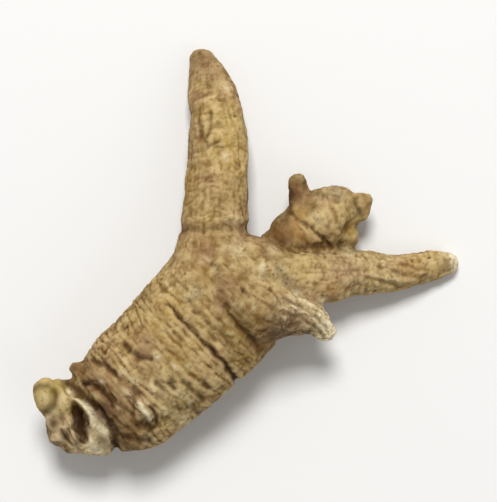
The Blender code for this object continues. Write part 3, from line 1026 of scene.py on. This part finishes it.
TRUNK_ROUTE: Route = (
    (-19.6, -20.8, 7.1, 0.54),
    (-18.4, -20.2, 7.1, 0.68),
    (-16.2, -18.7, 7.0, 0.88),
    (-12.75, -15.7, 7.2, 0.97),
    (-8.45, -11.6, 7.4, 1.02),
    (-4.9, -7.9, 7.7, 1.06),
    (-2.6, -5.3, 8.0, 1.06),
    (-0.8, -3.2, 8.1, 0.84),
    (0.2, -2.0, 8.1, 0.56),
)
LONG_LIMB_ROUTE: Route = (
    (-5.0, -3.8, 8.8, 1.4),
    (-4.6, 0.4, 8.8, 1.14),
    (-4.2, 4.2, 7.9, 1.06),
    (-3.8, 10.4, 6.3, 0.97),
    (-3.9, 16.6, 4.7, 0.91),
    (-4.65, 20.9, 3.2, 0.79),
    (-5.3, 23.6, 2.2, 0.6),
    (-5.7, 25.1, 1.7, 0.4),
)
SIDE_LIMB_ROUTE: Route = (
    (-1.8, -2.4, 8.8, 1.6),
    (2.2, -2.2, 8.8, 1.36),
    (6.1, -2.5, 7.8, 1.14),
    (10.1, -2.8, 6.4, 1.1),
    (14.1, -2.4, 5.0, 0.93),
    (17.6, -2.3, 3.9, 0.79),
    (20.9, -2.1, 2.8, 0.72),
    (23.9, -1.5, 1.9, 0.62),
    (26.0, -1.0, 1.5, 0.46),
)
BACK_BRANCH_ROUTE: Route = (
    (2.6, -1.6, 6.0, 0.86),
    (4.6, 0.4, 5.2, 0.9),
    (6.6, 2.2, 4.9, 0.98),
    (8.8, 3.7, 4.6, 1.06),
    (10.4, 4.3, 4.5, 1.08),
    (11.8, 4.5, 4.4, 1.02),
    (12.7, 4.4, 4.3, 0.82),
    (13.1, 4.3, 4.2, 0.4),
)
STUB_ROUTE: Route = (
    (-1.6, -4.7, 10.3, 1.3),
    (0.7, -5.6, 10.8, 1.32),
    (3.3, -7.1, 10.3, 1.42),
    (5.9, -7.5, 10.0, 1.0),
    (8.5, -8.3, 9.2, 0.8),
    (9.9, -9.7, 8.6, 0.54),
)
UPRIGHT_NUB_ROUTE: Route = ((7.2, 5.2, 5.4, 1.2), (6.6, 7.4, 6.0, 0.9), (6.35, 9.0, 6.3, 0.72))
END_NUB_ROUTE: Route = ((12.4, 5.4, 5.0, 1.2), (14.2, 6.4, 5.3, 0.92), (15.0, 6.8, 5.3, 0.68))
END_HOOK_ROUTE: Route = ((15.0, 6.8, 5.2, 1.2), (14.9, 5.6, 5.2, 1.2), (14.8, 4.6, 5.1, 0.85))
BRANCH_HEEL_ROUTE: Route = ((9.6, 2.8, 4.4, 1.5), (11.4, 2.8, 4.4, 1.4), (12.5, 2.5, 4.3, 1.1))
TRUNK_NUB_ROUTE: Route = ((-20.0, -15.8, 7.8, 1.3), (-20.9, -15.0, 8.0, 1.1), (-21.6, -14.4, 8.1, 0.8))


def grown_limbs() -> list[Limb]:
    """The trunk, its limbs and its nubs, thickest first."""
    return [
        Limb("trunk", 8.2, TRUNK_ROUTE, Skin.RINGED, 0.88),
        Limb("long_limb", 4.1, LONG_LIMB_ROUTE, Skin.FURROWED, mottling=0.75),
        Limb("side_limb", 3.2, SIDE_LIMB_ROUTE, Skin.FURROWED, pale_tip=1.1, pallor=0.15),
        Limb("back_branch", 3.9, BACK_BRANCH_ROUTE, Skin.KNOBBLY),
        Limb("stub", 3.0, STUB_ROUTE, Skin.STREAKED, pale_tip=3.2, pallor=0.55),
        Limb("upright_nub", 1.8, UPRIGHT_NUB_ROUTE, Skin.PEBBLED),
        Limb("end_nub", 1.8, END_NUB_ROUTE, Skin.PEBBLED),
        Limb("end_hook", 0.9, END_HOOK_ROUTE, Skin.PEBBLED),
        Limb("branch_heel", 1.8, BRANCH_HEEL_ROUTE, Skin.KNOBBLY),
        Limb("trunk_nub", 1.1, TRUNK_NUB_ROUTE, Skin.PEBBLED),
    ]


@dataclass
class GinsengRoot:
    """The whole root: limbs and head in one skin.

    Attributes:
        limbs: The trunk, its limbs and its nubs.
        head: The rhizome head.
        first_cell: Mesh size while the deep forms are made, in millimetres.
        skin_cell: Mesh size of the finished skin, in millimetres.
        offset: Where the frame's origin lies from the routes' origin, in millimetres.
    """

    limbs: list[Limb] = field(default_factory=grown_limbs)
    head: RhizomeHead = field(default_factory=RhizomeHead)
    first_cell: float = 0.3
    skin_cell: float = 0.213
    offset: tuple[float, float, float] = (0.154, 0.442, 0.3)

    def build(self) -> bpy.types.Object:
        """Models the root and stores its masks.

        Returns:
            The finished mesh, in the frame's place.
        """
        root = self._fuse([limb.build() for limb in self.limbs] + self.head.build())
        self._sculpt_deep(root)
        apply_modifier(root, "REMESH", mode="VOXEL", voxel_size=self.skin_cell * MM)
        apply_modifier(root, "SMOOTH", factor=0.5, iterations=2)
        self._sculpt_fine(root)
        self._stand(root)
        select_only(root)
        bpy.ops.object.shade_smooth()
        return root

    def _fuse(self, parts: list[bpy.types.Object]) -> bpy.types.Object:
        """Joins the parts and turns them into one closed skin with soft joins."""
        for part in parts:
            select_only(part)
            bpy.ops.object.mode_set(mode="EDIT")
            bpy.ops.mesh.select_all(action="SELECT")
            bpy.ops.mesh.normals_make_consistent(inside=False)
            bpy.ops.object.mode_set(mode="OBJECT")
        select_only(*parts)
        bpy.ops.object.join()
        root = bpy.context.object
        root.name = "dried_root"
        apply_modifier(root, "REMESH", mode="VOXEL", voxel_size=self.first_cell * MM)
        apply_modifier(root, "SMOOTH", factor=0.5, iterations=8)
        return root

    def _sculpt_deep(self, root: bpy.types.Object) -> None:
        """Swells the form a little and cuts the folds, the grooves and the stem scar."""
        points = read_points(root)
        normals = read_normals(root)
        facing = normals[:, 2]
        height = 0.3 * layered_noise(points / 5.5, 5, 2)
        for mark in [*MARKS, self.head.neck, self.head.bud_crease]:
            height -= mark.depth * mark.strength(points, facing)
        points = points + normals * height[:, None]
        points[:, 2] -= self.head.scar_depth * self.head.scar(points, facing)
        write_points(root, points)

    def _sculpt_fine(self, root: bpy.types.Object) -> None:
        """Wrinkles the skin as it dried, and stores the masks that the material reads."""
        points = read_points(root)
        normals = read_normals(root)
        height = np.zeros(len(points))
        mottle = np.zeros(len(points))
        pallor = np.zeros(len(points))
        weight = np.full(len(points), 1e-6)
        for index, limb in enumerate([*self.limbs, *self.head.limbs()]):
            place = limb.locate(points)
            near = place.gap < 2.5
            place = place.only(near)
            seed = 100 * (index + 1)
            nearness = np.exp(-np.maximum(place.gap, 0.0) / 0.45)
            height[near] += nearness * limb.skin.value.height(place, seed)
            spots = layered_noise(place.stretched(1.1, 1.4), seed + 50, 2)
            mottle[near] += nearness * limb.mottling * spots
            pallor[near] += nearness * limb.bleaching(place)
            weight[near] += nearness
        lenticels = LENTICELS.strength(points, self.limbs[:5])
        warts = WARTS.strength(points, self.limbs[:5])
        pits = ROOTLET_PITS.strength(points, self.limbs[:5])
        calm = np.maximum.reduce([mark.strength(points, normals[:, 2]) for mark in CALM_BANDS])
        height = (1.0 - 0.85 * calm) * height / weight + 0.07 * lenticels + 0.15 * warts - 0.16 * pits
        write_points(root, points + normals * height[:, None])
        mottle = mottle / weight + 0.5 * warts
        self._store_masks(root, normals[:, 2], pallor / weight, mottle, lenticels, pits)

    def _store_masks(
        self,
        root: bpy.types.Object,
        facing: Array,
        pallor: Array,
        mottle: Array,
        lenticels: Array,
        pits: Array,
    ) -> None:
        """Stores where the skin is dirty, worn, pale, stained or part of the head, and where shade and
        highlights are painted on it.

        Args:
            root: The finished skin.
            facing: The upward part of each point's normal, before the fine wrinkles.
            pallor: How bleached the limb is.
            mottle: Light and dark spots, about -1 to 1.
            lenticels: How much of a lenticel each point has.
            pits: How much of a rootlet's pit each point has.
        """
        points = read_points(root)
        normals = read_normals(root)
        fine = ((smoothed(root, points, 5) - points) * normals).sum(axis=1)
        broad = ((smoothed(root, points, 30) - points) * normals).sum(axis=1)
        scar = self.head.scar(points, np.ones(len(points)))
        head = self.head.extent(points)
        dirt_and_shade = np.maximum(scar, 0.55 * pits)
        for mark in [*MARKS, self.head.neck, self.head.bud_crease]:
            dirt_and_shade = np.maximum(dirt_and_shade, mark.dirt_and_shade * mark.strength(points, facing))
        # Painted shade: the skin is darkened in its hollows, the more the deeper and broader they are.
        hollow_shade = smoothstep(0.0, 0.05, fine) * 0.6 + smoothstep(0.02, 0.25, broad) * 0.4
        # Crests: bleached limbs bleach more on them, and the colour also gets a painted highlight along them.
        crest = smoothstep(0.0, 0.045, -fine) * 0.7 + smoothstep(0.0, 0.2, -broad) * 0.3
        for spot in SOIL_AND_SHADE_SPOTS:
            dirt_and_shade = np.maximum(dirt_and_shade, spot.shown(points, facing))
        # Darkness from the marks and spots (soil in some, painted shadow in others), plus painted shade in
        # the deepest creases.
        store_mask(root, "dirt_and_shade", np.maximum(dirt_and_shade, smoothstep(0.06, 0.15, fine) * 0.55))
        store_mask(root, "hollow_shade", hollow_shade)
        store_mask(root, "crest", crest)
        store_mask(root, "mottle", 0.5 + 0.45 * mottle)
        rim = head * smoothstep(0.25, -0.2, self.head.rim.locate(points).gap)
        rubbed = [0.6 * mark.strength(points, facing) for mark in RAISED]
        chip = CHIP.strength(points, facing)
        pale = np.maximum.reduce([pallor * (0.6 + crest), chip, *rubbed, 0.45 * lenticels, rim])
        for patch in PALE_PATCHES:
            pale = np.maximum(pale, patch.shown(points, facing))
        store_mask(root, "pale", pale * (1.0 - scar) * (1.0 - 0.6 * dirt_and_shade))
        for name, patches in STAINS_AND_SHADE.items():
            store_mask(root, name, np.maximum.reduce([patch.shown(points, facing) for patch in patches]))
        # Painted shade: the skin darkens where it turns down, away from the light above.
        store_mask(root, "flank_shade", smoothstep(0.55, -0.3, facing))
        above = smoothstep(-20.5, -19.5, points[:, 1])
        bud = above * smoothstep(0.5, 0.1, self.head.bud.locate(points).gap)
        collar = above * smoothstep(0.5, 0.1, self.head.collar.locate(points).gap)
        store_mask(root, "bud", np.maximum(bud, 0.6 * collar) * head)
        store_mask(root, "head", head * (1.0 - np.maximum(bud, collar)))

    def _stand(self, root: bpy.types.Object) -> None:
        """Moves the root to the frame's place and wears it flat where it touches the surface."""
        points = read_points(root) - np.array(self.offset)
        low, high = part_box(NODE)
        points[:, 2] = np.clip(points[:, 2], low.z / MM, high.z / MM + 0.2)
        write_points(root, points)


# ---------------------------------------------------------------------------------------------------
# Finish
# ---------------------------------------------------------------------------------------------------


def linear(code: str) -> tuple[float, float, float, float]:
    """Turns an sRGB hex colour into linear red, green, blue and alpha."""
    channels = [int(code[index : index + 2], 16) / 255.0 for index in (1, 3, 5)]
    bright = [((c + 0.055) / 1.055) ** 2.4 if c > 0.04045 else c / 12.92 for c in channels]
    return (bright[0], bright[1], bright[2], 1.0)


def add_node(tree: bpy.types.NodeTree, kind: str, settings: dict[str, Any], **sockets: Any) -> bpy.types.Node:
    """Adds a node, sets it up and links it.

    Args:
        tree: The material's node tree.
        kind: The node's type.
        settings: Values of the node's own fields.
        sockets: For each input, by name with _ for a space or i0, i1 by number, a value or an output.

    Returns:
        The new node.
    """
    node = tree.nodes.new(kind)
    for name, value in settings.items():
        setattr(node, name, value)
    for name, value in sockets.items():
        key = int(name[1:]) if name[0] == "i" and name[1:].isdigit() else name.replace("_", " ")
        socket = node.inputs[key]
        if isinstance(value, bpy.types.NodeSocket):
            tree.links.new(value, socket)
        else:
            socket.default_value = value
    return node


@dataclass(frozen=True)
class DriedRootSkin:
    """Dried root cork: a thin papery skin, sun-dried on the root and rubbed in handling.

    It is dull all over, tan with ochre and pinkish patches, dark with soil in its cuts and cream where the
    cork has rubbed off. Painted shade darkens its creases, lower flanks and the skin under the stub; painted
    highlights light its crests.
    """

    tan: str = "#9F8454"
    # Light tan of the flecks, also used for the painted highlight on the crests.
    light: str = "#CAB07C"
    ochre: str = "#AC8C42"
    rose: str = "#966F52"
    # Reddish brown of the stains, also used for painted shade under the stub.
    rust_and_shade: str = "#6B3B1C"
    # Near-black brown of soil, also used for painted shade in the hollows and under the stub.
    soil_and_shade: str = "#2E1806"
    # Brown of stains and flecks, also used for painted shade on the flanks, in the hollows and under the
    # stub.
    brown: str = "#67481F"
    straw: str = "#C4AB6C"
    amber: str = "#A87334"
    # Pinkish tone of the head, also used for the painted highlight on the head's crests.
    blush: str = "#BFA685"
    mauve: str = "#96795E"
    cream: str = "#DCCCA2"
    bone: str = "#EFE0BE"
    bud: str = "#B9A159"
    roughness: float = 0.78
    patch_mm: float = 7.0
    mottle_mm: float = 1.3
    speckle_mm: float = 0.45
    fibre_mm: float = 0.22

    def material(self) -> bpy.types.Material:
        """Builds the node material."""
        material = bpy.data.materials.new("dried_root_cork")
        material.use_nodes = True
        tree = material.node_tree
        shader = tree.nodes["Principled BSDF"]
        place = add_node(tree, "ShaderNodeTexCoord", {}).outputs["Object"]
        colour = self._colour(tree, place)
        tree.links.new(colour, shader.inputs["Base Color"])
        tree.links.new(self._roughness(tree, place), shader.inputs["Roughness"])
        tree.links.new(self._grain(tree, place), shader.inputs["Normal"])
        shader.inputs["Specular IOR Level"].default_value = 0.12
        return material

    def _noise(self, tree: bpy.types.NodeTree, place: Any, size_mm: float, detail: float) -> Any:
        """Noise whose features have this size, as an output from 0 to 1."""
        scale = 1.0 / (size_mm * MM)
        node = add_node(tree, "ShaderNodeTexNoise", {}, Vector=place, Scale=scale, Detail=detail)
        return node.outputs["Fac"]

    def _mask(self, tree: bpy.types.NodeTree, name: str) -> Any:
        """One of the masks that the skin's points carry."""
        return add_node(tree, "ShaderNodeAttribute", {"attribute_name": name}).outputs["Fac"]

    def _ramp(self, tree: bpy.types.NodeTree, value: Any, low: float, high: float, top: float = 1.0) -> Any:
        """The value, stretched so that low gives 0 and high gives the top."""
        node = add_node(
            tree, "ShaderNodeMapRange", {}, Value=value, From_Min=low, From_Max=high, To_Min=0.0, To_Max=top
        )
        return node.outputs["Result"]

    def _mix(self, tree: bpy.types.NodeTree, share: Any, under: Any, over: Any) -> Any:
        """Lays one colour over another by this share."""
        node = add_node(tree, "ShaderNodeMix", {"data_type": "RGBA"}, i0=share, i6=under, i7=over)
        return node.outputs[2]

    def _times(self, tree: bpy.types.NodeTree, one: Any, other: Any) -> Any:
        """The product of two numbers."""
        return add_node(tree, "ShaderNodeMath", {"operation": "MULTIPLY"}, i0=one, i1=other).outputs[0]

    def _colour(self, tree: bpy.types.NodeTree, place: Any) -> Any:
        """The skin's colour, from its broad patches down to its specks, with painted shade and painted
        highlights laid in.
        """
        broad = self._noise(tree, place, self.patch_mm, 3.0)
        fleck = self._noise(tree, place, self.mottle_mm, 4.0)
        speckle = self._noise(tree, place, self.speckle_mm, 3.0)
        mottle = self._mask(tree, "mottle")
        hollow_shade = self._mask(tree, "hollow_shade")
        crest = self._mask(tree, "crest")
        head = self._mask(tree, "head")
        layers = (
            (self._ramp(tree, broad, 0.5, 0.62, 0.6), self.ochre),
            (self._ramp(tree, broad, 0.48, 0.36, 0.6), self.rose),
            (self._times(tree, self._mask(tree, "ochre"), 0.75), self.ochre),
            (self._times(tree, self._mask(tree, "rose"), 0.85), self.rose),
            (self._times(tree, self._mask(tree, "straw"), 0.7), self.straw),
            (self._times(tree, head, 0.55), self.blush),
            (self._ramp(tree, fleck, 0.52, 0.66, 0.6), self.light),
            (self._ramp(tree, fleck, 0.47, 0.34, 0.6), self.brown),
            (self._ramp(tree, mottle, 0.5, 0.88, 0.85), self.light),
            (self._ramp(tree, mottle, 0.45, 0.12, 0.85), self.brown),
            # Painted shade on the lower flanks.
            (self._times(tree, self._mask(tree, "flank_shade"), 0.5), self.brown),
            (self._times(tree, self._mask(tree, "bud"), 0.85), self.bud),
            # Painted highlight on the crests.
            (self._times(tree, crest, 0.7), self.light),
            (self._times(tree, self._mask(tree, "amber"), 0.5), self.amber),
            (self._times(tree, self._mask(tree, "rose"), 0.4), self.mauve),
            # Brown stains, and painted shade under the stub and along the limbs' edges.
            (self._times(tree, self._mask(tree, "umber_and_shade"), 0.4), self.brown),
            # Reddish stains, and painted reddish shade under the stub.
            (self._times(tree, self._mask(tree, "rust_and_shade"), 0.6), self.rust_and_shade),
            # Painted highlight on the head's crests.
            (self._times(tree, head, self._ramp(tree, crest, 0.2, 0.7, 0.6)), self.blush),
            # Painted shade in the hollows.
            (self._times(tree, hollow_shade, 0.85), self.brown),
            (
                self._times(tree, self._mask(tree, "pale"), self._ramp(tree, speckle, 0.28, 0.5, 0.9)),
                self.cream,
            ),
            (self._ramp(tree, self._mask(tree, "pale"), 0.6, 1.0, 0.7), self.bone),
            (self._ramp(tree, speckle, 0.42, 0.25, 0.5), self.brown),
            # Painted shade in the head's hollows.
            (self._times(tree, head, self._ramp(tree, hollow_shade, 0.3, 0.9, 0.6)), self.soil_and_shade),
            # Soil in the cuts, and painted shadow where the marks and spots stand for shade.
            (self._times(tree, self._mask(tree, "dirt_and_shade"), 0.92), self.soil_and_shade),
        )
        colour = linear(self.tan)
        for share, over in layers:
            colour = self._mix(tree, share, colour, linear(over))
        return colour

    def _roughness(self, tree: bpy.types.NodeTree, place: Any) -> Any:
        """Dull skin, a little smoother where it was rubbed."""
        fleck = self._noise(tree, place, self.mottle_mm, 2.0)
        node = add_node(
            tree, "ShaderNodeMapRange", {}, Value=fleck, From_Min=0.3, From_Max=0.7,
            To_Min=self.roughness + 0.12, To_Max=self.roughness - 0.12,
        )
        return node.outputs["Result"]

    def _grain(self, tree: bpy.types.NodeTree, place: Any) -> Any:
        """The papery grain that is finer than the modelled wrinkles."""
        fibre = self._noise(tree, place, self.fibre_mm, 4.0)
        return add_node(
            tree, "ShaderNodeBump", {}, Strength=0.7, Distance=0.06 * MM, Height=fibre
        ).outputs["Normal"]


# ---------------------------------------------------------------------------------------------------
# Studio
# ---------------------------------------------------------------------------------------------------


@dataclass
class Studio:
    """A pale floor, soft lights and a camera that looks straight down.

    Attributes:
        floor_side: Side of the square floor, in metres.
        lens: The camera's lens, in millimetres.
        fill: The share of the frame's width that the root takes.
        key_power: Power of the main light, in watts.
        fill_power: Power of the second light, in watts.
        surround: Brightness of the room.
    """

    floor_side: float = 3.0
    lens: float = 180.0
    fill: float = 0.86
    key_power: float = 9.05
    fill_power: float = 0.7
    surround: float = 0.33

    def build(self) -> None:
        """Makes the floor, the lights, the room and the camera."""
        self._floor()
        low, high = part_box(NODE)
        middle = (low + high) / 2.0
        self._light("key_light", (-0.03, 0.50, 0.87), self.key_power, 0.3, middle)
        self._light("fill_light", (0.55, -0.40, 0.70), self.fill_power, 0.5, middle)
        self._room()
        self._camera(low, high)
        bpy.context.scene.view_settings.view_transform = "Standard"

    def _floor(self) -> None:
        """A plain matt sheet."""
        bpy.ops.mesh.primitive_plane_add(size=self.floor_side, location=(0.0, 0.0, 0.0))
        floor = bpy.context.object
        floor.name = "floor"
        paper = bpy.data.materials.new("matt_paper")
        paper.use_nodes = True
        shader = paper.node_tree.nodes["Principled BSDF"]
        shader.inputs["Base Color"].default_value = linear("#EAE9E7")
        shader.inputs["Roughness"].default_value = 0.9
        floor.data.materials.append(paper)

    def _light(
        self, name: str, place: tuple[float, float, float], power: float, side: float, aim: Vector
    ) -> None:
        """A square soft light that faces the root."""
        light = bpy.data.lights.new(name, "AREA")
        light.energy = power
        light.size = side
        lamp = bpy.data.objects.new(name, light)
        lamp.location = place
        lamp.rotation_euler = (aim - Vector(place)).to_track_quat("-Z", "Y").to_euler()
        bpy.context.scene.collection.objects.link(lamp)

    def _room(self) -> None:
        """Even white light from all round."""
        world = bpy.data.worlds.new("room")
        world.use_nodes = True
        background = world.node_tree.nodes["Background"]
        background.inputs["Color"].default_value = (1.0, 1.0, 1.0, 1.0)
        background.inputs["Strength"].default_value = self.surround
        bpy.context.scene.world = world

    def _camera(self, low: Vector, high: Vector) -> None:
        """A camera over the root's middle, far enough to take it all in."""
        data = bpy.data.cameras.new("camera")
        data.lens = self.lens
        camera = bpy.data.objects.new("camera", data)
        half_view = math.atan(data.sensor_width / 2.0 / self.lens)
        distance = (high.x - low.x) / self.fill / 2.0 / math.tan(half_view)
        middle = (low + high) / 2.0
        camera.location = (middle.x, middle.y, middle.z + distance)
        bpy.context.scene.collection.objects.link(camera)
        bpy.context.scene.camera = camera


def main() -> None:
    """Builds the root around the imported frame, dresses it and sets the scene."""
    logging.basicConfig(level=logging.INFO, format="%(name)s: %(message)s")
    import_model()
    root = GinsengRoot().build()
    root.data.materials.clear()
    root.data.materials.append(DriedRootSkin().material())
    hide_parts(NODE)
    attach(root, BODY)
    LOG.info("%s: %d points, %d faces", root.name, len(root.data.vertices), len(root.data.polygons))
    Studio().build()


if __name__ == "__main__":
    main()
